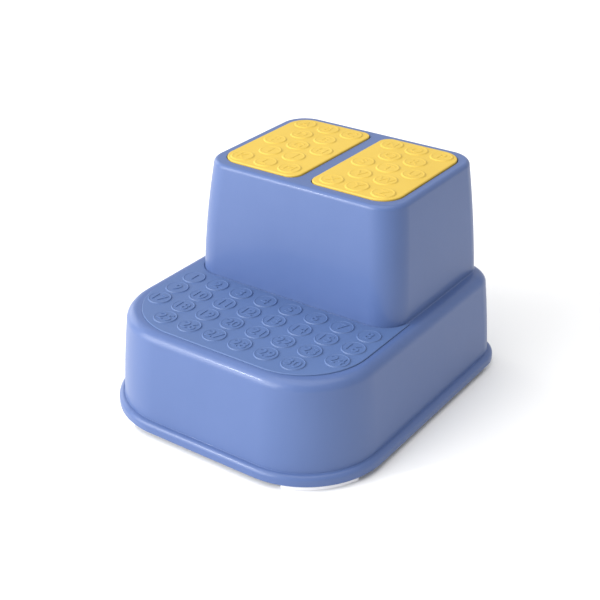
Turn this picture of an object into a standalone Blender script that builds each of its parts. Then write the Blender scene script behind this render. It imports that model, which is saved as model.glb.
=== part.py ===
"""Child's two-step stool, moulded in plastic with grip treads and rubber feet.

Metres, +Z up, front towards -Y. The origin is on the floor under the middle of the base.
One hollow ribbed body carries a numbered grip panel on its lower step, two grip pads
plugged into pockets in its top step, and four rubber feet under the corners of its rim.
"""

from math import acos, cos, degrees, radians, sin

import bmesh
import bpy

# Overall size
WIDTH = 0.3100
DEPTH = 0.3552
HEIGHT = 0.2400

# Body
WALL = 0.0030
FOOT_HEIGHT = 0.0060            # the rim's underside above the floor
RIM_TOP = 0.0175                # top of the bead round the foot of the wall
RIM_REACH = 0.0062              # how far the bead stands out from the wall
RIM_FRONT_RADIUS = 0.0897
RIM_REAR_RADIUS = 0.0417
RIM_ROUND = 0.0055
DECK = 0.1123                   # top face of the lower step
LOWER_SIDE_LEAN = 0.0055        # how much the wall leans in up to the lower step
LOWER_FRONT_LEAN = 0.0078
LOWER_EDGE_ROUND = 0.0114
LOWER_BOW = 0.0007
TIER_BASE_HALF_WIDTH = 0.1262
TIER_TOP_HALF_WIDTH = 0.1162
TIER_BASE_FRONT = -0.0251
TIER_TOP_FRONT = -0.0160
TIER_TOP_REAR = 0.1580
TIER_RADIUS = 0.0299
TIER_EDGE_ROUND = 0.0052
TIER_FILLET = 0.0012            # hollow curve where the upper tier meets the shoulders
TIER_BOW = 0.0014
TIER_TOP = 0.2374

# Treads
GAP = 0.0003                    # clearance between neighbouring pieces
CUT_OVER = 0.0010               # how far a cutter runs past the face it opens
DISC_RADIUS = 0.0123
PANEL_DISC_HEIGHT = 0.0013
PAD_DISC_HEIGHT = 0.0010
DISC_SINK = 0.0008
PANEL_TOP = 0.1135
PANEL_RECESS = 0.0010
PANEL_HALF_WIDTH = 0.1293
PANEL_FRONT = -0.1512
PANEL_FRONT_RADIUS = 0.0717
PANEL_HORN = 0.0030             # width of the panel's tips beside the riser
PANEL_COLUMNS = 8
PANEL_ROWS = 4
PANEL_PITCH_X = 0.0314
PANEL_PITCH_Y = 0.0280
PANEL_FIRST_ROW = -0.0443
PAD_INNER = 0.0074
PAD_OUTER = 0.1045
PAD_FRONT = -0.0030
PAD_REAR = 0.1464
PAD_OUTER_RADIUS = 0.0228
PAD_INNER_RADIUS = 0.0126
PAD_TOP = HEIGHT - PAD_DISC_HEIGHT
PAD_EDGE = 0.0010
POCKET_DEPTH = 0.0030
POCKET_CLEARANCE = 0.0009       # shows as the dark line round each pad
PAD_ROWS = (3, 2, 3, 2, 3)
PAD_PITCH_X = 0.0300
PAD_PITCH_Y = 0.0290

# Plugs that hold the pads
PLUG_RADIUS = 0.0030
PLUG_HOLE_RADIUS = 0.0034
PLUG_HEAD_RADIUS = 0.0046
PLUG_HEAD_HEIGHT = 0.0030
PLUG_INSET = 0.0150

# Ribs under the steps
RIB = 0.0020
RIB_DEPTH = 0.0120

# Feet
FOOT_INSET = 0.0036             # from the bead's outer face
FOOT_WIDTH = 0.0052
TONGUE_WIDTH = 0.0024
TONGUE_HEIGHT = 0.0040
FRONT_FOOT_ARC = (18, 72)       # degrees round the corner
REAR_FOOT_ARC = (0, 90)

CORNER_STEPS = 7
DISC_SIDES = 20
PLUG_SIDES = 16


def clear_scene():
    for item in list(bpy.data.objects):
        bpy.data.objects.remove(item, do_unlink=True)


def material(name, colour, roughness):
    made = bpy.data.materials.new(name)
    made.use_nodes = True
    shader = made.node_tree.nodes["Principled BSDF"]
    shader.inputs["Base Color"].default_value = (*colour, 1.0)
    shader.inputs["Roughness"].default_value = roughness
    shader.inputs["Metallic"].default_value = 0.0
    return made


def add_object(name, bm, finish=None):
    bmesh.ops.recalc_face_normals(bm, faces=bm.faces)
    mesh = bpy.data.meshes.new(name)
    bm.to_mesh(mesh)
    bm.free()
    mesh.shade_smooth()
    mesh.set_sharp_from_angle(angle=radians(30))
    made = bpy.data.objects.new(name, mesh)
    bpy.context.scene.collection.objects.link(made)
    if finish:
        mesh.materials.append(finish)
    return made


def as_cutter(item):
    item.hide_render = True
    item.display_type = "WIRE"
    return item


def boolean(item, tool, operation):
    step = item.modifiers.new(tool.name, "BOOLEAN")
    step.object = tool
    step.operation = operation
    step.solver = "EXACT"


def arc(centre, radius, start, end, steps=CORNER_STEPS):
    turn = [radians(start + (end - start) * i / steps) for i in range(steps + 1)]
    return [(centre[0] + radius * cos(a), centre[1] + radius * sin(a)) for a in turn]


def rounded_outline(left, right, front, rear, radii):
    """Anticlockwise from the front left corner; radii run in the same order."""
    corners = ((left, front, 1, 1, 180), (right, front, -1, 1, 270),
               (right, rear, -1, -1, 0), (left, rear, 1, -1, 90))
    points = []
    for (x, y, side, depth, start), radius in zip(corners, radii):
        points += arc((x + side * radius, y + depth * radius), radius, start, start + 90)
    return points


def level(half_width, front, rear, front_radius, rear_radius, z, rear_z=None):
    """One outline of the body. Round its rear corners it may climb to another height."""
    radii = (front_radius, front_radius, rear_radius, rear_radius)
    flat = rounded_outline(-half_width, half_width, front, rear, radii)
    rear_z = z if rear_z is None else rear_z
    ring = []
    for i, (x, y) in enumerate(flat):
        corner, step = divmod(i, CORNER_STEPS + 1)
        share = step / CORNER_STEPS
        climb = {2: share, 3: 1 - share}.get(corner, 0.0)
        climb = climb * climb * (3 - 2 * climb)
        ring.append((x, y, z + (rear_z - z) * climb))
    return ring


def loft(rings):
    """A closed solid through outlines that all have the same number of points."""
    bm = bmesh.new()
    place = bm.verts.layers.int.new("place")
    first = [bm.verts.new(point) for point in rings[0]]
    for i, vert in enumerate(first):
        vert[place] = i
    bottom = bm.faces.new(first)
    edges = list(bottom.edges)
    for ring in rings[1:]:
        grown = bmesh.ops.extrude_edge_only(bm, edges=edges)["geom"]
        edges = [part for part in grown if isinstance(part, bmesh.types.BMEdge)]
        for vert in {vert for edge in edges for vert in edge.verts}:
            vert.co = ring[vert[place]]
    bmesh.ops.contextual_create(bm, geom=edges)
    return bm


def prism(outline, bottom, top):
    return loft([[(x, y, z) for x, y in outline] for z in (bottom, top)])


def disc(bm, x, y, bottom, top, radius=DISC_RADIUS, sides=DISC_SIDES, top_radius=None):
    made = bmesh.ops.create_cone(bm, cap_ends=True, segments=sides, radius1=radius,
                                 radius2=radius if top_radius is None else top_radius,
                                 depth=top - bottom)
    bmesh.ops.translate(bm, vec=(x, y, (top + bottom) / 2), verts=made["verts"])


# Body

def lower_rear(z):
    """The one leaning plane at the back, which both tiers share."""
    base_rear = DEPTH / 2 - RIM_REACH
    share = (z - RIM_TOP) / (TIER_TOP - RIM_TOP)
    return base_rear + (TIER_TOP_REAR - base_rear) * share


def body_rings(wall, bottom, deck, ceiling):
    """Outlines of the body from its rim to its top, set in by a wall thickness."""
    half = WIDTH / 2
    edge = DEPTH / 2
    rings = []
    if not wall:
        bead = [(0.0012, FOOT_HEIGHT), (0.0, FOOT_HEIGHT + 0.0012), (0.0, RIM_TOP - RIM_ROUND)]
        for turn in (30, 60, 90):
            reach = RIM_ROUND * (1 - cos(radians(turn)))
            bead.append((reach, RIM_TOP - RIM_ROUND * (1 - sin(radians(turn)))))
        for inset, z in bead:
            rings.append(level(half - inset, inset - edge, edge - inset,
                               RIM_FRONT_RADIUS - inset, RIM_REAR_RADIUS - inset, z))
    half -= RIM_REACH + wall
    front = RIM_REACH + wall - edge
    front_radius = RIM_FRONT_RADIUS - RIM_REACH - wall
    rear_radius = RIM_REAR_RADIUS - RIM_REACH - wall
    start = bottom if wall else RIM_TOP
    edge_round = LOWER_EDGE_ROUND - wall
    wall_top = deck - edge_round
    for share in (0.0, 0.33, 0.67, 1.0):
        z = start + (wall_top - start) * share
        bow = LOWER_BOW * 4 * share * (1 - share)
        side_in = LOWER_SIDE_LEAN * share - bow
        front_in = LOWER_FRONT_LEAN * share - bow
        rings.append(level(half - side_in, front + front_in, lower_rear(z) - wall,
                           front_radius - side_in, rear_radius, z))
    climb = [wall_top + (deck + TIER_FILLET - wall_top) * i / 7 for i in range(1, 8)]
    for turn, rear_z in zip((22.5, 45, 67.5, 90), climb):
        inset = LOWER_SIDE_LEAN + edge_round * (1 - cos(radians(turn)))
        front_in = LOWER_FRONT_LEAN + edge_round * (1 - cos(radians(turn)))
        z = wall_top + edge_round * sin(radians(turn))
        rings.append(level(half - inset, front + front_in, lower_rear(rear_z) - wall,
                           front_radius - inset, rear_radius, z, rear_z))
    tier_radius = TIER_RADIUS - wall
    for turn, rear_z in zip((0, 45, 90), climb[4:]):
        out = TIER_FILLET * (1 - sin(radians(turn)))
        z = deck + TIER_FILLET * (1 - cos(radians(turn)))
        rings.append(level(TIER_BASE_HALF_WIDTH - wall + out, TIER_BASE_FRONT + wall - out,
                           lower_rear(rear_z) - wall, tier_radius + out, tier_radius, z, rear_z))
    base = deck + TIER_FILLET
    top_round = TIER_EDGE_ROUND - wall
    tier_end = ceiling - top_round
    for share in (0.25, 0.5, 0.75, 1.0):
        bow = TIER_BOW * 4 * share * (1 - share)
        side_in = (TIER_BASE_HALF_WIDTH - TIER_TOP_HALF_WIDTH) * share - bow
        front_in = (TIER_TOP_FRONT - TIER_BASE_FRONT) * share - bow
        z = base + (tier_end - base) * share
        rings.append(level(TIER_BASE_HALF_WIDTH - wall - side_in,
                           TIER_BASE_FRONT + wall + front_in, lower_rear(z) - wall,
                           tier_radius, tier_radius, z))
    for turn in (30, 60, 90):
        inset = top_round * (1 - cos(radians(turn)))
        z = tier_end + top_round * sin(radians(turn))
        rings.append(level(TIER_TOP_HALF_WIDTH - wall - inset, TIER_TOP_FRONT + wall + inset,
                           lower_rear(tier_end) - wall - inset,
                           tier_radius - inset, tier_radius - inset, z))
    return rings


def rib_box(name, low, high):
    bm = bmesh.new()
    made = bmesh.ops.create_cube(bm, size=1.0)
    size = [b - a for a, b in zip(low, high)]
    middle = [(a + b) / 2 for a, b in zip(low, high)]
    bmesh.ops.scale(bm, vec=size, verts=made["verts"])
    bmesh.ops.translate(bm, vec=middle, verts=made["verts"])
    return as_cutter(add_object(name, bm))


def rib_boxes(lower_ceiling, upper_ceiling):
    """Solid strips taken out of the hollow, so that they stay as ribs of the body."""
    over = 0.005
    half = WIDTH / 2
    boxes = []
    for i, x in enumerate((-0.0940, -0.0470, 0.0, 0.0470, 0.0940)):
        boxes.append(rib_box(f"lower_rib_{i}", (x - RIB / 2, -half, lower_ceiling - RIB_DEPTH),
                             (x + RIB / 2, TIER_BASE_FRONT + WALL, lower_ceiling + over)))
    boxes.append(rib_box("lower_cross_rib", (-half, -0.0900, lower_ceiling - RIB_DEPTH),
                         (half, -0.0900 + RIB, lower_ceiling + over)))
    for i, x in enumerate((-0.0730, -0.0390, 0.0, 0.0390, 0.0730)):
        boxes.append(rib_box(f"upper_rib_{i}", (x - RIB / 2, -half, upper_ceiling - RIB_DEPTH),
                             (x + RIB / 2, half + 0.02, upper_ceiling + over)))
    for i, y in enumerate((0.0400, 0.1040)):
        boxes.append(rib_box(f"upper_cross_rib_{i}", (-half, y, upper_ceiling - RIB_DEPTH),
                             (half, y + RIB, upper_ceiling + over)))
    return boxes


def build_body(finish):
    lower_ceiling = DECK - PANEL_RECESS - WALL
    upper_ceiling = TIER_TOP - POCKET_DEPTH - WALL
    body = add_object("stool_body", loft(body_rings(0.0, FOOT_HEIGHT, DECK, TIER_TOP)), finish)
    hollow_rings = body_rings(WALL, FOOT_HEIGHT - CUT_OVER, lower_ceiling, upper_ceiling)
    hollow = as_cutter(add_object("body_hollow", loft(hollow_rings)))
    for box in rib_boxes(lower_ceiling, upper_ceiling):
        boolean(hollow, box, "DIFFERENCE")
    boolean(body, hollow, "DIFFERENCE")
    recess = prism(panel_outline(GAP), DECK - PANEL_RECESS, PANEL_TOP + CUT_OVER)
    boolean(body, as_cutter(add_object("panel_recess", recess)), "DIFFERENCE")
    for side, name in ((-1, "left"), (1, "right")):
        pocket = prism(pad_outline(side, POCKET_CLEARANCE), TIER_TOP - POCKET_DEPTH, HEIGHT)
        boolean(body, as_cutter(add_object(f"{name}_pocket", pocket)), "DIFFERENCE")
    holes = bmesh.new()
    for side in (-1, 1):
        for x, y in plug_places(side):
            disc(holes, x, y, upper_ceiling - WALL, HEIGHT, PLUG_HOLE_RADIUS, PLUG_SIDES)
    boolean(body, as_cutter(add_object("plug_holes", holes)), "DIFFERENCE")
    for name, side, end, span in foot_layout():
        groove = foot_strip(side, end, span, TONGUE_WIDTH + 2 * GAP, 0.0,
                            FOOT_HEIGHT + TONGUE_HEIGHT + GAP, GAP)
        boolean(body, as_cutter(add_object(f"{name}_groove", groove)), "DIFFERENCE")
    return body


# Lower step panel

def panel_outline(grow=0.0):
    """Round at the front, and hollowed at the back to pass round the riser's corners."""
    half = PANEL_HALF_WIDTH + grow
    front = PANEL_FRONT - grow
    radius = PANEL_FRONT_RADIUS + grow
    hug = TIER_RADIUS + 2 * GAP - grow
    centre_x = TIER_BASE_HALF_WIDTH - TIER_RADIUS
    centre_y = TIER_BASE_FRONT + TIER_RADIUS
    tip_x = half - PANEL_HORN - grow
    tip_turn = -degrees(acos((tip_x - centre_x) / hug))
    tip_y = centre_y + hug * sin(radians(tip_turn))
    points = arc((radius - half, front + radius), radius, 180, 270)
    points += arc((half - radius, front + radius), radius, 270, 360)
    points.append((half, tip_y))
    points += arc((centre_x, centre_y), hug, tip_turn, -90)
    points += arc((-centre_x, centre_y), hug, 270, 180 - tip_turn)
    points.append((-half, tip_y))
    return points


def panel_discs():
    """Four rows from the riser forwards; the front row misses its two corner places."""
    places = []
    for row in range(PANEL_ROWS):
        for column in range(PANEL_COLUMNS):
            if row == PANEL_ROWS - 1 and column in (0, PANEL_COLUMNS - 1):
                continue
            x = (column - (PANEL_COLUMNS - 1) / 2) * PANEL_PITCH_X
            places.append((x, PANEL_FIRST_ROW - row * PANEL_PITCH_Y))
    return places


def build_panel(finish):
    bottom = DECK - PANEL_RECESS + GAP
    panel = add_object("lower_tread_panel", prism(panel_outline(), bottom, PANEL_TOP), finish)
    discs = bmesh.new()
    for x, y in panel_discs():
        disc(discs, x, y, PANEL_TOP - DISC_SINK, PANEL_TOP + PANEL_DISC_HEIGHT)
    boolean(panel, as_cutter(add_object("panel_discs", discs)), "UNION")
    return panel


# Top step pads

def pad_outline(side, grow=0.0):
    near = PAD_INNER - grow
    far = PAD_OUTER + grow
    inner = PAD_INNER_RADIUS + grow
    outer = PAD_OUTER_RADIUS + grow
    if side > 0:
        return rounded_outline(near, far, PAD_FRONT - grow, PAD_REAR + grow,
                               (inner, outer, outer, inner))
    return rounded_outline(-far, -near, PAD_FRONT - grow, PAD_REAR + grow,
                           (outer, inner, inner, outer))


def plug_places(side):
    low_x, high_x = PAD_INNER + PLUG_INSET, PAD_OUTER - PLUG_INSET
    low_y, high_y = PAD_FRONT + PLUG_INSET, PAD_REAR - PLUG_INSET
    middle = ((low_x + high_x) / 2, (low_y + high_y) / 2)
    places = [(low_x, low_y), (high_x, low_y), (low_x, high_y), (high_x, high_y), middle]
    return [(side * x, y) for x, y in places]


def pad_discs(side):
    """Rows of three and two by turns, centred on the pad."""
    middle_x = side * (PAD_INNER + PAD_OUTER) / 2
    middle_y = (PAD_FRONT + PAD_REAR) / 2
    places = []
    for row, count in enumerate(PAD_ROWS):
        y = middle_y + (row - (len(PAD_ROWS) - 1) / 2) * PAD_PITCH_Y
        for i in range(count):
            places.append((middle_x + (i - (count - 1) / 2) * PAD_PITCH_X, y))
    return places


def build_pad(name, side, finish):
    bottom = TIER_TOP - POCKET_DEPTH + GAP
    levels = [(0.0, bottom), (0.0, PAD_TOP - PAD_EDGE),
              (PAD_EDGE * 0.3, PAD_TOP - PAD_EDGE * 0.3), (PAD_EDGE, PAD_TOP)]
    rings = [[(x, y, z) for x, y in pad_outline(side, -inset)] for inset, z in levels]
    pad = add_object(name, loft(rings), finish)
    discs = bmesh.new()
    for x, y in pad_discs(side):
        disc(discs, x, y, PAD_TOP - DISC_SINK, PAD_TOP + PAD_DISC_HEIGHT)
    boolean(pad, as_cutter(add_object(f"{name}_discs", discs)), "UNION")
    neck_end = TIER_TOP - POCKET_DEPTH - WALL - GAP
    shafts = bmesh.new()
    heads = bmesh.new()
    for x, y in plug_places(side):
        disc(shafts, x, y, neck_end - PLUG_HEAD_HEIGHT / 2, bottom + 0.001,
             PLUG_RADIUS, PLUG_SIDES)
        disc(heads, x, y, neck_end - PLUG_HEAD_HEIGHT, neck_end,
             PLUG_RADIUS * 0.6, PLUG_SIDES, PLUG_HEAD_RADIUS)
    boolean(pad, as_cutter(add_object(f"{name}_plug_shafts", shafts)), "UNION")
    boolean(pad, as_cutter(add_object(f"{name}_plug_heads", heads)), "UNION")
    return pad


# Feet

def foot_layout():
    return (("front_left_foot", -1, -1, FRONT_FOOT_ARC), ("front_right_foot", 1, -1, FRONT_FOOT_ARC),
            ("rear_left_foot", -1, 1, REAR_FOOT_ARC), ("rear_right_foot", 1, 1, REAR_FOOT_ARC))


def foot_strip(side, end, span, width, bottom, top, longer=0.0):
    """A strip round one corner of the rim, centred on the foot's middle line."""
    corner_radius = RIM_FRONT_RADIUS if end < 0 else RIM_REAR_RADIUS
    centre = (side * (WIDTH / 2 - corner_radius), end * (DEPTH / 2 - corner_radius))
    middle = corner_radius - FOOT_INSET - FOOT_WIDTH / 2
    extra = degrees(longer / middle)
    outer = arc((0, 0), middle + width / 2, span[0] - extra, span[1] + extra, 10)
    inner = arc((0, 0), middle - width / 2, span[1] + extra, span[0] - extra, 10)
    outline = [(centre[0] + side * x, centre[1] + end * y) for x, y in outer + inner]
    return prism(outline, bottom, top)


def build_foot(name, side, end, span, finish):
    foot = add_object(name, foot_strip(side, end, span, FOOT_WIDTH, 0.0, FOOT_HEIGHT - GAP), finish)
    tongue_span = (span[0] + 3, span[1] - 3)
    tongue = foot_strip(side, end, tongue_span, TONGUE_WIDTH, FOOT_HEIGHT - 0.0015,
                        FOOT_HEIGHT + TONGUE_HEIGHT)
    boolean(foot, as_cutter(add_object(f"{name}_tongue", tongue)), "UNION")
    return foot


def main():
    clear_scene()
    blue_plastic = material("blue_plastic", (0.19, 0.30, 0.62), 0.42)
    blue_grip = material("blue_grip", (0.16, 0.26, 0.56), 0.62)
    yellow_grip = material("yellow_grip", (0.93, 0.60, 0.12), 0.60)
    white_rubber = material("white_rubber", (0.74, 0.74, 0.76), 0.70)
    build_body(blue_plastic)
    build_panel(blue_grip)
    build_pad("left_tread_pad", -1, yellow_grip)
    build_pad("right_tread_pad", 1, yellow_grip)
    for name, side, end, span in foot_layout():
        build_foot(name, side, end, span, white_rubber)


main()
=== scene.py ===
"""Looks for a child's moulded two-step stool: satin blue body, numbered grip, yellow pads.

Metres, +Z up, front towards -Y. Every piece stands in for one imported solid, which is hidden.
"""

from collections import namedtuple
from math import acos, cos, degrees, pi, radians, sin

import bmesh
import bpy
from mathutils import Matrix, Vector


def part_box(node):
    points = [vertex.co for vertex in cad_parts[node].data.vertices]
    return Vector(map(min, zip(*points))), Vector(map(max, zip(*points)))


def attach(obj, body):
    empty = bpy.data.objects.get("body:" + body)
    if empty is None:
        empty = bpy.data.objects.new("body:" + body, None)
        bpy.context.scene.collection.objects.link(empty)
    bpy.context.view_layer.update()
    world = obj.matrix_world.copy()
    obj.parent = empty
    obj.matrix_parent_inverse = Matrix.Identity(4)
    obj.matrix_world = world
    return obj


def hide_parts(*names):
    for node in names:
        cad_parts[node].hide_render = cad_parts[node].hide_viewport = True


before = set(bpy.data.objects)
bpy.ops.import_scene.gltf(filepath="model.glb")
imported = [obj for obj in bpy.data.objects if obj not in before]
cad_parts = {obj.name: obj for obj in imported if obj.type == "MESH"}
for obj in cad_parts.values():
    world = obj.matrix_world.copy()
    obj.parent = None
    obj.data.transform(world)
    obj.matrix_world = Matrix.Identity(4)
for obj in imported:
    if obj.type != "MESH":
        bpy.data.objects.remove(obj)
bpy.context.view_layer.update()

Disc = namedtuple("Disc", "height ramp rim dish mark")

BODY_LOW, BODY_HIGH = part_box("stool_body")
PANEL_LOW, PANEL_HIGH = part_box("lower_tread_panel")
PAD_LOW, PAD_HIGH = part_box("right_tread_pad")
FOOT_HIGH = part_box("front_right_foot")[1]

# Body, lower tier and its bead
HALF_WIDTH = BODY_HIGH.x
HALF_DEPTH = BODY_HIGH.y
RIM_BOTTOM = BODY_LOW.z
TIER_TOP = BODY_HIGH.z
WALL = 0.0030
RIM_TOP = 0.0175
RIM_REACH = 0.0062
RIM_FRONT_RADIUS = 0.0897
RIM_REAR_RADIUS = 0.0417
RIM_ROUND = 0.0055
RIM_FOOT_ROUND = 0.0012
LEDGE_FILLET = 0.0005
DECK = 0.1123
LOWER_SIDE_LEAN = 0.0055
LOWER_FRONT_LEAN = 0.0078
LOWER_EDGE_ROUND = 0.0114
LOWER_BOW = 0.0007

# Upper tier
TIER_BASE_HALF_WIDTH = 0.1262
TIER_TOP_HALF_WIDTH = 0.1162
TIER_BASE_FRONT = -0.0251
TIER_TOP_FRONT = -0.0160
TIER_TOP_REAR = 0.1580
TIER_RADIUS = 0.0299
TIER_EDGE_ROUND = 0.0052
TIER_FILLET = 0.0012
TIER_BOW = 0.0014

# Lower grip panel
GAP = 0.0003
CUT_OVER = 0.0010
PANEL_DISC_HEIGHT = 0.0013
PANEL_TOP = PANEL_HIGH.z - PANEL_DISC_HEIGHT
PANEL_RECESS = 0.0010
PANEL_HALF_WIDTH = PANEL_HIGH.x
PANEL_FRONT = PANEL_LOW.y
PANEL_FRONT_RADIUS = 0.0717
PANEL_HORN = 0.0030
PANEL_EDGE = 0.0009
PANEL_COLUMNS = 8
PANEL_ROWS = 4
PANEL_PITCH_X = 0.0314
PANEL_PITCH_Y = 0.0280
PANEL_FIRST_ROW = -0.0443

# Upper pads
PAD_DISC_HEIGHT = 0.0010
PAD_TOP = PAD_HIGH.z - PAD_DISC_HEIGHT
PAD_INNER = PAD_LOW.x
PAD_OUTER = PAD_HIGH.x
PAD_FRONT = PAD_LOW.y
PAD_REAR = PAD_HIGH.y
PAD_OUTER_RADIUS = 0.0228
PAD_INNER_RADIUS = 0.0126
PAD_EDGE = 0.0013
PAD_FOOT_EDGE = 0.0006
POCKET_DEPTH = 0.0030
POCKET_CLEARANCE = 0.0009
POCKET_EDGE = 0.0004
POCKET_CUT_OVER = 0.0040
PAD_ROWS = (3, 2, 3, 2, 3)
PAD_PITCH_X = 0.0300
PAD_PITCH_Y = 0.0290
PLUG_RADIUS = 0.0030
PLUG_HOLE_RADIUS = 0.0034
PLUG_HEAD_RADIUS = 0.0046
PLUG_HEAD_HEIGHT = 0.0030
PLUG_HEAD_EDGE = 0.0002
PLUG_CONE_DROP = 0.0005          # below the neck
PLUG_BAND_DROP = 0.0001
PLUG_TIP_RADIUS = PLUG_RADIUS * 0.45
PLUG_CONE_RADIUS = PLUG_RADIUS * 0.62
PLUG_SINK = 0.0010
PLUG_HOLE_BOTTOM = -0.0080       # below the pocket's floor
PLUG_HOLE_TOP = 0.0020
PLUG_STEPS = 32
PLUG_INSET = 0.0150

# Discs and their marks
DISC_RADIUS = 0.0121
DISC_SINK = 0.0004
PANEL_DISC = Disc(height=PANEL_DISC_HEIGHT, ramp=0.0009, rim=0.0005, dish=0.0003, mark=0.0003)
PAD_DISC = Disc(height=PAD_DISC_HEIGHT, ramp=0.0018, rim=0.0008, dish=0.0002, mark=0.0001)
MARK_SIZE = 0.0172
MARK_EDGE = 0.00016
TREAD_CREASE = 42                # degrees; sharper edges stay crisp on the treads

# Ribs and feet
RIB = 0.0020
RIB_TIP = 0.0014
RIB_TIP_ROUND = RIB_TIP * 0.35
RIB_DEPTH = 0.0120
RIB_SINK = 0.0050                # how far a rib's tool runs up into the wall above it
LOWER_RIBS_X = (-0.094, -0.047, 0.0, 0.047, 0.094)
LOWER_RIBS_Y = (-0.089,)
UPPER_RIBS_X = (-0.073, -0.039, 0.0, 0.039, 0.073)
UPPER_RIBS_Y = (0.041, 0.105)
RIB_REACH = HALF_WIDTH + 0.02
FOOT_INSET = 0.0036
FOOT_WIDTH = 0.0052
FOOT_EDGE = 0.0007
FOOT_END_STEPS = 8
TONGUE_WIDTH = 0.0024
TONGUE_EDGE = 0.0004
TONGUE_SINK = 0.0015
TONGUE_PULL = 3                  # degrees that a tongue stops short of its strip's ends
FRONT_FOOT_ARC = (18, 72)
REAR_FOOT_ARC = (0, 90)

# Steps round a corner in plan, and round an edge
CORNER_STEPS = 28
ROUND_STEPS = 10

# Camera, light and floor; angles in degrees, azimuth 0 straight in front
CAMERA_AZIMUTH = 34.94
CAMERA_ELEVATION = 28.25
CAMERA_DISTANCE = 1.2749
CAMERA_TARGET = Vector((0.0, -0.0047, 0.1029))
SENSOR_WIDTH = 36.0
FOCAL_LENGTH = 72.89
WORLD_STRENGTH = 0.70
LIGHT_DISTANCE = 4.0
LIGHT_TARGET = Vector((0.0, 0.0, 0.12))
# name, azimuth, elevation, width, height and power in watts
LIGHTS = (("key", -32, 19, 4.2, 2.5, 160.0),
          ("high_key", -32, 32, 3.2, 3.2, 62.0),
          ("small_lamp", -35, 29, 0.16, 0.16, 22.0),
          ("left_fill", -100, 17, 2.2, 2.2, 38.0),
          ("overhead", 0, 85, 4.0, 4.0, 92.0))
FLOOR_HALF_WIDTH = 15.0


# Camera, light and floor

def direction(azimuth, elevation):
    """Unit vector from the stool towards something at these angles."""
    turn, rise = radians(azimuth), radians(elevation)
    return Vector((sin(turn) * cos(rise), -cos(turn) * cos(rise), sin(rise)))


def aim(made, target, away, distance):
    """Stands a camera or light away from its target and turns it to look back there."""
    made.location = target + away * distance
    made.rotation_euler = away.to_track_quat("Z", "Y").to_euler()
    bpy.context.scene.collection.objects.link(made)


def add_camera():
    lens = bpy.data.cameras.new("camera")
    lens.sensor_width = SENSOR_WIDTH
    lens.lens = FOCAL_LENGTH
    camera = bpy.data.objects.new("camera", lens)
    aim(camera, CAMERA_TARGET, direction(CAMERA_AZIMUTH, CAMERA_ELEVATION), CAMERA_DISTANCE)
    bpy.context.scene.camera = camera


def add_light(name, azimuth, elevation, width, height, power):
    """A soft box that looks at the stool."""
    lamp = bpy.data.lights.new(name, "AREA")
    lamp.shape = "RECTANGLE"
    lamp.size = width
    lamp.size_y = height
    lamp.energy = power
    made = bpy.data.objects.new(name, lamp)
    aim(made, LIGHT_TARGET, direction(azimuth, elevation), LIGHT_DISTANCE)


def add_surroundings():
    world = bpy.data.worlds.new("studio")
    world.use_nodes = True
    background = world.node_tree.nodes["Background"]
    background.inputs["Color"].default_value = (1.0, 1.0, 1.0, 1.0)
    background.inputs["Strength"].default_value = WORLD_STRENGTH
    bpy.context.scene.world = world
    bpy.context.scene.view_settings.view_transform = "Standard"
    for light in LIGHTS:
        add_light(*light)
    bm = bmesh.new()
    bmesh.ops.create_grid(bm, x_segments=1, y_segments=1, size=FLOOR_HALF_WIDTH)
    floor = add_piece("floor", bm, floor_finish())


# Shader building

class Value:
    """A shader socket that takes part in sums and products like a number."""

    def __init__(self, finish, socket):
        self.finish = finish
        self.socket = socket

    def maths(self, operation, first, second):
        return self.finish.node("ShaderNodeMath", {"operation": operation}, {0: first, 1: second})

    def __add__(self, other):
        return self.maths("ADD", self, other)

    def __radd__(self, other):
        return self.maths("ADD", other, self)

    def __sub__(self, other):
        return self.maths("SUBTRACT", self, other)

    def __rsub__(self, other):
        return self.maths("SUBTRACT", other, self)

    def __mul__(self, other):
        return self.maths("MULTIPLY", self, other)

    def __rmul__(self, other):
        return self.maths("MULTIPLY", other, self)


class Finish:
    """One material, with a method that adds a node and one for each thing used often."""

    def __init__(self, name, constants=None):
        self.material = bpy.data.materials.new(name)
        self.material.use_nodes = True
        self.tree = self.material.node_tree
        self.shader = self.tree.nodes["Principled BSDF"]
        for socket, value in (constants or {}).items():
            self.shader.inputs[socket].default_value = value
        self.place = self.node("ShaderNodeTexCoord", output="Object")

    def join(self, value, socket):
        if isinstance(value, Value):
            self.tree.links.new(value.socket, socket)
        else:
            socket.default_value = value

    def node(self, kind, settings=None, sockets=None, output=0):
        made = self.tree.nodes.new(kind)
        for setting, value in (settings or {}).items():
            setattr(made, setting, value)
        for socket, value in (sockets or {}).items():
            self.join(value, made.inputs[socket])
        return Value(self, made.outputs[output])

    def stretched(self, scale):
        return self.node("ShaderNodeMapping", sockets={"Vector": self.place, "Scale": scale})

    def noise(self, scale, detail=2.0, rough=0.5, place=None):
        return self.node("ShaderNodeTexNoise", sockets={
            "Vector": place or self.place, "Scale": scale, "Detail": detail, "Roughness": rough})

    def band(self, value, low, high):
        """0 below low, 1 above high, and smooth between them."""
        return self.node("ShaderNodeMapRange", {"interpolation_type": "SMOOTHSTEP"},
                         {"Value": value, "From Min": low, "From Max": high})

    def blend(self, factor, first, second):
        """Mixes two (red, green, blue) colours; 6, 7 and 2 are the node's colour sockets."""
        return self.node("ShaderNodeMix", {"data_type": "RGBA"},
                         {"Factor": factor, 6: (*first, 1.0), 7: (*second, 1.0)}, output=2)

    def bump(self, height, depth, strength=1.0):
        relief = self.node("ShaderNodeBump", sockets={
            "Strength": strength, "Distance": depth, "Height": height})
        self.join(relief, self.shader.inputs["Normal"])

    def colour(self, value):
        self.join(value, self.shader.inputs["Base Color"])

    def roughness(self, value):
        self.join(value, self.shader.inputs["Roughness"])


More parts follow.
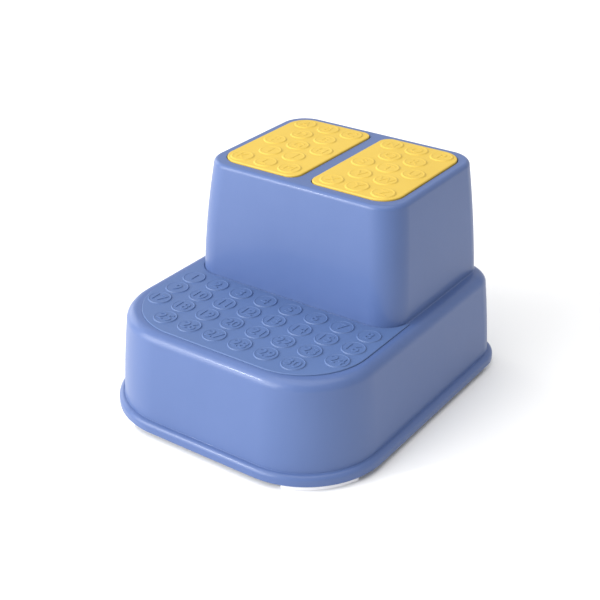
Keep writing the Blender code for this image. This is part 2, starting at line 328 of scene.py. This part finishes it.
def floor_finish():
    finish = Finish("pale_floor", {"Roughness": 0.9})
    finish.colour(finish.blend(finish.noise(1.5), (0.84, 0.84, 0.84), (0.86, 0.86, 0.86)))
    return finish.material


def satin_blue_plastic():
    """Moulded polypropylene: fine etched skin, faint flow marks, a few rub marks."""
    finish = Finish("satin_blue_plastic", {"Specular IOR Level": 0.34, "Coat Weight": 0.25,
                                           "Coat Roughness": 0.15})
    cloudy = finish.noise(9.0, 3.0)
    flow = finish.noise(26.0, 4.0, 0.6, finish.stretched((1.0, 1.0, 0.22)))
    tone = finish.band(cloudy * 0.65 + flow * 0.35, 0.30, 0.70)
    finish.colour(finish.blend(tone, (0.066, 0.112, 0.268), (0.073, 0.121, 0.284)))
    etched = finish.noise(1500.0, 3.0, 0.6)
    ripple = finish.noise(75.0, 2.0)
    streaks = finish.noise(210.0, 2.0, 0.5, finish.stretched((0.16, 0.16, 1.0)))
    rubbed = finish.band(streaks, 0.66, 0.80)
    finish.roughness(0.38 + cloudy * 0.06 + etched * 0.05 - rubbed * 0.05)
    finish.bump(etched * 0.10 + ripple * 0.90, 0.00012, 0.55)
    return finish.material


def grained_blue_grip():
    """The same blue in a softer compound, with a finely spark-etched face."""
    finish = Finish("grained_blue_grip")
    cloudy = finish.noise(11.0, 3.0)
    grain = finish.noise(1100.0, 2.0, 0.65)
    speck = finish.node("ShaderNodeTexVoronoi", {"feature": "F1"},
                        {"Vector": finish.place, "Scale": 900.0})
    tone = finish.band(cloudy * 0.7 + grain * 0.3, 0.28, 0.72)
    finish.colour(finish.blend(tone, (0.067, 0.119, 0.272), (0.074, 0.129, 0.290)))
    finish.roughness(0.48 + grain * 0.10)
    finish.bump(grain * 0.6 + speck * 0.4, 0.00010, 0.6)
    return finish.material


def soft_yellow_grip():
    """Matt elastomer with a fine grain and a slightly deeper colour in random patches."""
    finish = Finish("soft_yellow_grip")
    cloudy = finish.noise(14.0, 3.0)
    grain = finish.noise(1000.0, 2.0, 0.65)
    tone = finish.band(cloudy * 0.7 + grain * 0.3, 0.28, 0.72)
    finish.colour(finish.blend(tone, (0.552, 0.372, 0.046), (0.584, 0.402, 0.056)))
    finish.roughness(0.50 + grain * 0.10)
    finish.bump(grain, 0.00010, 0.5)
    return finish.material


def white_rubber():
    finish = Finish("off_white_rubber")
    grain = finish.noise(900.0, 3.0, 0.6)
    dust = finish.band(finish.noise(60.0, 4.0, 0.6), 0.52, 0.75)
    finish.colour(finish.blend(dust * 0.5, (0.80, 0.80, 0.83), (0.72, 0.71, 0.72)))
    finish.roughness(0.55 + grain * 0.15)
    finish.bump(grain, 0.00008, 0.5)
    return finish.material


# Mesh helpers

def add_piece(name, bm, finish=None):
    mesh = bpy.data.meshes.new(name)
    bm.to_mesh(mesh)
    bm.free()
    made = bpy.data.objects.new(name, mesh)
    bpy.context.scene.collection.objects.link(made)
    if finish:
        mesh.materials.append(finish)
    return made


def closed(bm):
    bmesh.ops.recalc_face_normals(bm, faces=bm.faces)
    return bm


def settle(piece):
    """Applies the modifiers, so that the piece's own mesh is the finished one."""
    seen = piece.evaluated_get(bpy.context.evaluated_depsgraph_get())
    mesh = bpy.data.meshes.new_from_object(seen)
    piece.modifiers.clear()
    piece.data = mesh
    return piece


def work(piece, steps):
    """Cuts or joins closed tools, in order, and takes the tools away again."""
    for tool, operation in steps:
        step = piece.modifiers.new(tool.name, "BOOLEAN")
        step.object = tool
        step.operation = operation
        step.solver = "EXACT"
    settle(piece)
    for tool, operation in steps:
        bpy.data.objects.remove(tool, do_unlink=True)
    return piece


def smooth(piece, angle=32):
    """Smooth shading that keeps the large faces flat and real edges crisp."""
    piece.data.shade_smooth()
    piece.data.set_sharp_from_angle(angle=radians(angle))
    weighing = piece.modifiers.new("weighted normals", "WEIGHTED_NORMAL")
    weighing.keep_sharp = True
    return settle(piece)


def eased(share):
    """0 to 1 with a soft start and end."""
    return share * share * (3 - 2 * share)


def arc(centre, radius, start, end, steps=CORNER_STEPS):
    turn = [radians(start + (end - start) * i / steps) for i in range(steps + 1)]
    return [(centre[0] + radius * cos(a), centre[1] + radius * sin(a)) for a in turn]


def quarter(radius, steps=ROUND_STEPS):
    """(in, up) pairs round a quarter circle, from its foot to its crown."""
    turns = [radians(90 * i / steps) for i in range(steps + 1)]
    return [(radius * (1 - cos(turn)), radius * sin(turn)) for turn in turns]


def rounded_outline(left, right, front, rear, radii):
    """Anticlockwise from the front left corner; radii run in the same order."""
    corners = ((left, front, 1, 1, 180), (right, front, -1, 1, 270),
               (right, rear, -1, -1, 0), (left, rear, 1, -1, 90))
    points = []
    for (x, y, side, depth, start), radius in zip(corners, radii):
        points += arc((x + side * radius, y + depth * radius), radius, start, start + 90)
    return points


def loft(rings):
    """A closed solid through outlines that all have the same number of points."""
    bm = bmesh.new()
    place = bm.verts.layers.int.new("place")
    first = [bm.verts.new(point) for point in rings[0]]
    for i, vert in enumerate(first):
        vert[place] = i
    edges = list(bm.faces.new(first).edges)
    for ring in rings[1:]:
        grown = bmesh.ops.extrude_edge_only(bm, edges=edges)["geom"]
        edges = [part for part in grown if isinstance(part, bmesh.types.BMEdge)]
        for vert in {vert for edge in edges for vert in edge.verts}:
            vert.co = ring[vert[place]]
    bmesh.ops.contextual_create(bm, geom=edges)
    return closed(bm)


def stack(outline, levels):
    """A solid from an outline that takes an inset, through (inset, height) levels."""
    return loft([[(x, y, z) for x, y in outline(inset)] for inset, z in levels])


def turned(bm, profile, places, steps=48):
    """Turned solids with one profile of (radius, height) points, stood at (x, y, z) places."""
    verts = [bm.verts.new((radius, 0.0, z)) for radius, z in profile]
    edges = [bm.edges.new(pair) for pair in zip(verts, verts[1:])]
    bmesh.ops.spin(bm, geom=verts + edges, cent=(0, 0, 0), axis=(0, 0, 1), dvec=(0, 0, 0),
                   angle=2 * pi, steps=steps, use_merge=True)
    fresh = bm.verts[:]
    bmesh.ops.remove_doubles(bm, verts=fresh, dist=1e-7)
    pattern = bm.verts[:] + bm.edges[:] + bm.faces[:]
    for place in places:
        copied = bmesh.ops.duplicate(bm, geom=pattern)["geom"]
        bmesh.ops.translate(bm, vec=place, verts=[part for part in copied
                                                  if isinstance(part, bmesh.types.BMVert)])
    bmesh.ops.delete(bm, geom=[part for part in pattern
                               if isinstance(part, bmesh.types.BMVert)], context="VERTS")
    return closed(bm)


# Body

def level(half_width, front, rear, front_radius, rear_radius, z, rear_z=None):
    """One outline of the body. Round its rear corners it may climb to another height."""
    radii = (front_radius, front_radius, rear_radius, rear_radius)
    flat = rounded_outline(-half_width, half_width, front, rear, radii)
    rear_z = z if rear_z is None else rear_z
    ring = []
    for i, (x, y) in enumerate(flat):
        corner, step = divmod(i, CORNER_STEPS + 1)
        share = step / CORNER_STEPS
        climb = {2: share, 3: 1 - share}.get(corner, 0.0)
        ring.append((x, y, z + (rear_z - z) * eased(climb)))
    return ring


def rear_plane(z):
    """The one leaning plane at the back, which both tiers share."""
    base_rear = HALF_DEPTH - RIM_REACH
    share = (z - RIM_TOP) / (TIER_TOP - RIM_TOP)
    return base_rear + (TIER_TOP_REAR - base_rear) * share


def bead_rings():
    """The rounded bead round the foot of the wall, and the hollow line above it."""
    profile = [(RIM_FOOT_ROUND - up, RIM_BOTTOM + into) for into, up in quarter(RIM_FOOT_ROUND, 4)]
    profile += [(into, RIM_TOP - RIM_ROUND + up) for into, up in quarter(RIM_ROUND, 8)]
    profile += [(RIM_REACH - LEDGE_FILLET + up, RIM_TOP + into)
                for into, up in quarter(LEDGE_FILLET, 4)]
    return [level(HALF_WIDTH - inset, inset - HALF_DEPTH, HALF_DEPTH - inset,
                  RIM_FRONT_RADIUS - inset, RIM_REAR_RADIUS - inset, z) for inset, z in profile]


def body_rings(wall, bottom, deck, ceiling):
    """Outlines of the body from its rim to its top, set in by a wall thickness."""
    rings = [] if wall else bead_rings()
    half = HALF_WIDTH - RIM_REACH - wall
    front = RIM_REACH + wall - HALF_DEPTH
    front_radius = RIM_FRONT_RADIUS - RIM_REACH - wall
    rear_radius = RIM_REAR_RADIUS - RIM_REACH - wall
    start = bottom if wall else RIM_TOP
    edge_round = LOWER_EDGE_ROUND - wall
    wall_top = deck - edge_round
    steps = 10
    for i in range(0 if wall else 1, steps + 1):
        share = i / steps
        z = start + (wall_top - start) * share
        bow = LOWER_BOW * 4 * share * (1 - share)
        side_in = LOWER_SIDE_LEAN * share - bow
        front_in = LOWER_FRONT_LEAN * share - bow
        rings.append(level(half - side_in, front + front_in, rear_plane(z) - wall,
                           front_radius - side_in, rear_radius, z))
    shoulder = quarter(edge_round, 12)[1:]
    fillet = quarter(TIER_FILLET, 6)
    rises = len(shoulder) + len(fillet)
    climb = [wall_top + (deck + TIER_FILLET - wall_top) * i / rises for i in range(1, rises + 1)]
    for (into, up), rear_z in zip(shoulder, climb):
        rings.append(level(half - LOWER_SIDE_LEAN - into, front + LOWER_FRONT_LEAN + into,
                           rear_plane(rear_z) - wall, front_radius - LOWER_SIDE_LEAN - into,
                           rear_radius, wall_top + up, rear_z))
    tier_radius = TIER_RADIUS - wall
    for (rise, inward), rear_z in zip(fillet, climb[len(shoulder):]):
        out = TIER_FILLET - inward
        rings.append(level(TIER_BASE_HALF_WIDTH - wall + out, TIER_BASE_FRONT + wall - out,
                           rear_plane(rear_z) - wall, tier_radius + out, tier_radius,
                           deck + rise, rear_z))
    base = deck + TIER_FILLET
    top_round = TIER_EDGE_ROUND - wall
    tier_end = ceiling - top_round
    steps = 14
    for i in range(1, steps + 1):
        share = i / steps
        bow = TIER_BOW * 4 * share * (1 - share)
        side_in = (TIER_BASE_HALF_WIDTH - TIER_TOP_HALF_WIDTH) * share - bow
        front_in = (TIER_TOP_FRONT - TIER_BASE_FRONT) * share - bow
        z = base + (tier_end - base) * share
        rings.append(level(TIER_BASE_HALF_WIDTH - wall - side_in,
                           TIER_BASE_FRONT + wall + front_in, rear_plane(z) - wall,
                           tier_radius, tier_radius, z))
    for into, up in quarter(top_round, 8)[1:]:
        rings.append(level(TIER_TOP_HALF_WIDTH - wall - into, TIER_TOP_FRONT + wall + into,
                           rear_plane(tier_end) - wall - into,
                           tier_radius - into, tier_radius - into, tier_end + up))
    return rings


def rib(bm, start, end, ceiling):
    """A strip from start to end, (x, y) each, that narrows a little towards its lower edge."""
    made = bmesh.ops.create_cube(bm, size=1.0)["verts"]
    along = 0 if end[0] - start[0] > end[1] - start[1] else 1
    size = [end[0] - start[0], end[1] - start[1], RIB_DEPTH + RIB_SINK]
    size[1 - along] = RIB
    bmesh.ops.scale(bm, vec=size, verts=made)
    narrow = [1.0, 1.0, 1.0]
    narrow[1 - along] = RIB_TIP / RIB
    tip = [vert for vert in made if vert.co.z < 0]
    bmesh.ops.scale(bm, vec=narrow, verts=tip)
    edges = [edge for edge in bm.edges if edge.verts[0] in tip and edge.verts[1] in tip
             and abs(edge.verts[0].co[along] - edge.verts[1].co[along]) > RIB]
    middle = ((start[0] + end[0]) / 2, (start[1] + end[1]) / 2,
              ceiling + (RIB_SINK - RIB_DEPTH) / 2)
    bmesh.ops.translate(bm, vec=middle, verts=made)
    bmesh.ops.bevel(bm, geom=edges, offset=RIB_TIP_ROUND, offset_type="OFFSET", segments=3,
                    profile=0.5, affect="EDGES", material=-1)


def rib_tool(name, lines, ceiling):
    bm = bmesh.new()
    for start, end in lines:
        rib(bm, start, end, ceiling)
    return add_piece(name, closed(bm))


def hollow_tool(lower_ceiling, upper_ceiling):
    """The space under the stool: the body set in by its wall, less the ribs."""
    rings = body_rings(WALL, RIM_BOTTOM - CUT_OVER, lower_ceiling, upper_ceiling)
    hollow = add_piece("hollow", loft(rings))
    riser = TIER_BASE_FRONT + WALL
    tools = [rib_tool("lower_ribs", [((x, -RIB_REACH), (x, riser)) for x in LOWER_RIBS_X],
                      lower_ceiling),
             rib_tool("lower_cross_rib", [((-RIB_REACH, y), (RIB_REACH, y)) for y in LOWER_RIBS_Y],
                      lower_ceiling),
             rib_tool("upper_ribs", [((x, -RIB_REACH), (x, RIB_REACH)) for x in UPPER_RIBS_X],
                      upper_ceiling),
             rib_tool("upper_cross_ribs", [((-RIB_REACH, y), (RIB_REACH, y)) for y in UPPER_RIBS_Y],
                      upper_ceiling)]
    return work(hollow, [(tool, "DIFFERENCE") for tool in tools])


def rim_flare(outline, bottom, surface, edge, grow):
    """A cutter for a pocket: rounded at its floor, and flared to round the pocket's mouth."""
    levels = [(edge - up - grow, bottom + into) for into, up in quarter(edge, 4)]
    levels += [(-out - grow, surface - edge + up) for out, up in quarter(edge, 4)]
    levels.append((-edge - grow, surface + POCKET_CUT_OVER))
    return stack(outline, levels)


def build_body(finish):
    lower_ceiling = DECK - PANEL_RECESS - WALL
    upper_ceiling = TIER_TOP - POCKET_DEPTH - WALL
    body = add_piece("body_shell", loft(body_rings(0.0, RIM_BOTTOM, DECK, TIER_TOP)), finish)
    steps = [(hollow_tool(lower_ceiling, upper_ceiling), "DIFFERENCE")]
    recess = stack(panel_outline, [(-GAP, DECK - PANEL_RECESS), (-GAP, PANEL_TOP + CUT_OVER)])
    steps.append((add_piece("recess", recess), "DIFFERENCE"))
    for side in (-1, 1):
        pocket = rim_flare(lambda inset: pad_outline(side, inset), TIER_TOP - POCKET_DEPTH,
                           TIER_TOP, POCKET_EDGE, POCKET_CLEARANCE)
        steps.append((add_piece("pocket", pocket), "DIFFERENCE"))
    hole = [(0.0, PLUG_HOLE_BOTTOM), (PLUG_HOLE_RADIUS, PLUG_HOLE_BOTTOM),
            (PLUG_HOLE_RADIUS, PLUG_HOLE_TOP), (0.0, PLUG_HOLE_TOP)]
    places = [(x, y, TIER_TOP - POCKET_DEPTH) for side in (-1, 1) for x, y in plug_places(side)]
    holes = turned(bmesh.new(), hole, places, PLUG_STEPS)
    steps.append((add_piece("plug_holes", holes), "DIFFERENCE"))
    for name, side, end, span in foot_layout():
        groove = foot_strip(side, end, span, TONGUE_WIDTH + 2 * GAP, GAP,
                            [(0.0, 0.0), (0.0, FOOT_HIGH.z + GAP)])
        steps.append((add_piece("groove", groove), "DIFFERENCE"))
    return smooth(work(body, steps))


# Lower grip panel

def panel_outline(inset=0.0):
    """Round at the front, and hollowed at the back to pass round the riser's corners."""
    half = PANEL_HALF_WIDTH - inset
    front = PANEL_FRONT + inset
    radius = PANEL_FRONT_RADIUS - inset
    hug = TIER_RADIUS + 2 * GAP + inset
    centre_x = TIER_BASE_HALF_WIDTH - TIER_RADIUS
    centre_y = TIER_BASE_FRONT + TIER_RADIUS
    tip_x = half - PANEL_HORN + 2 * inset
    tip_turn = -degrees(acos((tip_x - centre_x) / hug))
    tip_y = centre_y + hug * sin(radians(tip_turn))
    points = arc((radius - half, front + radius), radius, 180, 270)
    points += arc((half - radius, front + radius), radius, 270, 360)
    points.append((half, tip_y))
    points += arc((centre_x, centre_y), hug, tip_turn, -90)
    points += arc((-centre_x, centre_y), hug, 270, 180 - tip_turn)
    points.append((-half, tip_y))
    return points


def panel_discs():
    """Four rows from the riser forwards; the front row misses its two corner places."""
    places = []
    for row in range(PANEL_ROWS):
        for column in range(PANEL_COLUMNS):
            if row == PANEL_ROWS - 1 and column in (0, PANEL_COLUMNS - 1):
                continue
            x = (column - (PANEL_COLUMNS - 1) / 2) * PANEL_PITCH_X
            places.append((x, PANEL_FIRST_ROW - row * PANEL_PITCH_Y))
    return places


def disc_profile(disc):
    """From below: a sunk foot, a soft ramp up to the rim, and a shallow dish inside it."""
    rim = disc.height - disc.mark
    outer = DISC_RADIUS + disc.ramp / 2
    inner = outer - disc.ramp - disc.rim
    profile = [(0.0, -DISC_SINK), (outer, -DISC_SINK)]
    profile += [(outer - disc.ramp * i / 10, rim * eased(i / 10)) for i in range(11)]
    profile += [(inner - disc.dish * 2 * i / 4, rim - disc.dish * eased(i / 4)) for i in range(5)]
    return profile + [(0.0, rim - disc.dish)]


def mark_mesh(text, thickness):
    """A raised number or letter, lying flat round the origin with its foot sunk below zero."""
    curve = bpy.data.curves.new("mark", "FONT")
    curve.body = text
    curve.size = MARK_SIZE
    curve.extrude = thickness
    curve.bevel_depth = MARK_EDGE
    curve.bevel_resolution = 1
    curve.resolution_u = 4
    curve.align_x = "CENTER"
    curve.align_y = "CENTER"
    carrier = bpy.data.objects.new("mark", curve)
    bpy.context.scene.collection.objects.link(carrier)
    bpy.context.view_layer.update()
    seen = carrier.evaluated_get(bpy.context.evaluated_depsgraph_get())
    mesh = bpy.data.meshes.new_from_object(seen)
    bpy.data.objects.remove(carrier, do_unlink=True)
    return mesh


def add_marks(piece, texts, places, disc, top):
    """Sinks a raised number or letter into each disc, centred, as a closed shape of its own."""
    bm = bmesh.new()
    bm.from_mesh(piece.data)
    half = disc.mark + disc.dish - MARK_EDGE
    for text, (x, y) in zip(texts, places):
        mark = mark_mesh(text, half)
        xs = [vert.co.x for vert in mark.vertices]
        ys = [vert.co.y for vert in mark.vertices]
        shift = (x - (min(xs) + max(xs)) / 2, y - (min(ys) + max(ys)) / 2, top - half - MARK_EDGE)
        mark.transform(Matrix.Translation(shift))
        bm.from_mesh(mark)
        bpy.data.meshes.remove(mark)
    bmesh.ops.remove_doubles(bm, verts=bm.verts, dist=1e-6)
    bm.to_mesh(piece.data)
    bm.free()


def disc_tool(places, disc, top):
    standing = [(x, y, top) for x, y in places]
    return add_piece("discs", turned(bmesh.new(), disc_profile(disc), standing))


def build_panel(finish):
    bottom = DECK - PANEL_RECESS + GAP
    levels = [(0.0, bottom)]
    levels += [(into, PANEL_TOP - PANEL_EDGE + up) for into, up in quarter(PANEL_EDGE, 5)]
    panel = add_piece("numbered_tread", stack(panel_outline, levels), finish)
    places = panel_discs()
    numbers = [str(i + 1) for i in range(len(places))]
    work(panel, [(disc_tool(places, PANEL_DISC, PANEL_TOP), "UNION")])
    add_marks(panel, numbers, places, PANEL_DISC, PANEL_HIGH.z)
    return smooth(panel, TREAD_CREASE)


# Upper pads

def pad_outline(side, inset=0.0):
    near, far = PAD_INNER + inset, PAD_OUTER - inset
    inner, outer = PAD_INNER_RADIUS - inset, PAD_OUTER_RADIUS - inset
    front, rear = PAD_FRONT + inset, PAD_REAR - inset
    if side > 0:
        return rounded_outline(near, far, front, rear, (inner, outer, outer, inner))
    return rounded_outline(-far, -near, front, rear, (outer, inner, inner, outer))


def plug_places(side):
    low_x, high_x = PAD_INNER + PLUG_INSET, PAD_OUTER - PLUG_INSET
    low_y, high_y = PAD_FRONT + PLUG_INSET, PAD_REAR - PLUG_INSET
    middle = ((low_x + high_x) / 2, (low_y + high_y) / 2)
    places = [(low_x, low_y), (high_x, low_y), (low_x, high_y), (high_x, high_y), middle]
    return [(side * x, y) for x, y in places]


def pad_discs(side):
    """Rows of three and two by turns, centred on the pad, from the back row forwards."""
    middle_x = side * (PAD_INNER + PAD_OUTER) / 2
    middle_y = (PAD_FRONT + PAD_REAR) / 2
    places = []
    for row, count in enumerate(PAD_ROWS):
        y = middle_y - (row - (len(PAD_ROWS) - 1) / 2) * PAD_PITCH_Y
        for i in range(count):
            places.append((middle_x + (i - (count - 1) / 2) * PAD_PITCH_X, y))
    return places


def build_pad(name, side, finish, letters):
    bottom = TIER_TOP - POCKET_DEPTH + GAP
    levels = [(PAD_FOOT_EDGE - up, bottom + into) for into, up in quarter(PAD_FOOT_EDGE, 3)]
    levels += [(into, PAD_TOP - PAD_EDGE + up) for into, up in quarter(PAD_EDGE, 8)]
    pad = add_piece(name, stack(lambda inset: pad_outline(side, inset), levels), finish)
    neck = TIER_TOP - POCKET_DEPTH - WALL - GAP - bottom
    head_end = neck - PLUG_HEAD_HEIGHT
    plug = [(0.0, head_end), (PLUG_TIP_RADIUS, head_end),
            (PLUG_CONE_RADIUS, head_end + PLUG_HEAD_EDGE),
            (PLUG_HEAD_RADIUS, neck - PLUG_CONE_DROP), (PLUG_HEAD_RADIUS, neck - PLUG_BAND_DROP),
            (PLUG_HEAD_RADIUS - PLUG_HEAD_EDGE, neck),
            (PLUG_RADIUS, neck), (PLUG_RADIUS, PLUG_SINK), (0.0, PLUG_SINK)]
    standing = [(x, y, bottom) for x, y in plug_places(side)]
    plugs = turned(bmesh.new(), plug, standing, PLUG_STEPS)
    places = pad_discs(side)
    work(pad, [(disc_tool(places, PAD_DISC, PAD_TOP), "UNION"),
               (add_piece("plugs", plugs), "UNION")])
    add_marks(pad, letters, places, PAD_DISC, PAD_HIGH.z)
    return smooth(pad, TREAD_CREASE)


# Feet

def foot_layout():
    """(name, side, end, span) of each foot: -1 is left or front, 1 is right or rear."""
    return (("front_left_foot", -1, -1, FRONT_FOOT_ARC),
            ("front_right_foot", 1, -1, FRONT_FOOT_ARC),
            ("rear_left_foot", -1, 1, REAR_FOOT_ARC),
            ("rear_right_foot", 1, 1, REAR_FOOT_ARC))


def foot_strip(side, end, span, width, longer, levels, round_ends=False):
    """A strip round one corner of the rim, centred on the foot's middle line."""
    corner_radius = RIM_FRONT_RADIUS if end < 0 else RIM_REAR_RADIUS
    centre = (side * (HALF_WIDTH - corner_radius), end * (HALF_DEPTH - corner_radius))
    middle = corner_radius - FOOT_INSET - FOOT_WIDTH / 2
    pull = degrees((width / 2 if round_ends else -longer) / middle)
    first, last = span[0] + pull, span[1] - pull

    def outline(inset):
        half = width / 2 - inset
        points = arc((0, 0), middle + half, first, last)
        if round_ends:
            tip = (middle * cos(radians(last)), middle * sin(radians(last)))
            points += arc(tip, half, last, last + 180, FOOT_END_STEPS)[1:-1]
        points += arc((0, 0), middle - half, last, first)
        if round_ends:
            tip = (middle * cos(radians(first)), middle * sin(radians(first)))
            points += arc(tip, half, first + 180, first + 360, FOOT_END_STEPS)[1:-1]
        return [(centre[0] + side * x, centre[1] + end * y) for x, y in points]

    return stack(outline, levels)


def build_foot(name, side, end, span, finish):
    top = RIM_BOTTOM - GAP
    levels = [(FOOT_EDGE - up, into) for into, up in quarter(FOOT_EDGE, 5)]
    levels += [(into, top - FOOT_EDGE / 2 + up) for into, up in quarter(FOOT_EDGE / 2, 3)]
    strip = foot_strip(side, end, span, FOOT_WIDTH, 0.0, levels, round_ends=True)
    foot = add_piece(name + "_pad", strip, finish)
    tongue_span = (span[0] + TONGUE_PULL, span[1] - TONGUE_PULL)
    tongue = foot_strip(side, end, tongue_span, TONGUE_WIDTH, 0.0,
                        [(0.0, RIM_BOTTOM - TONGUE_SINK), (0.0, FOOT_HIGH.z - TONGUE_EDGE),
                         (TONGUE_EDGE, FOOT_HIGH.z)])
    return smooth(work(foot, [(add_piece("tongue", tongue), "UNION")]))


def main():
    add_camera()
    add_surroundings()
    yellow = soft_yellow_grip()
    rubber = white_rubber()
    pieces = [(build_body(satin_blue_plastic()), "stool_body", "blue_plastic"),
              (build_panel(grained_blue_grip()), "lower_tread_panel", "blue_grip")]
    letters = [chr(ord("A") + i) for i in range(2 * sum(PAD_ROWS))]
    half = len(letters) // 2
    pieces.append((build_pad("left_lettered_pad", -1, yellow, letters[:half]),
                   "left_tread_pad", "yellow_grip"))
    pieces.append((build_pad("right_lettered_pad", 1, yellow, letters[half:]),
                   "right_tread_pad", "yellow_grip"))
    for name, side, end, span in foot_layout():
        pieces.append((build_foot(name, side, end, span, rubber), name, "white_rubber"))
    for piece, node, slot in pieces:
        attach(piece, "root")
        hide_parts(node)


main()
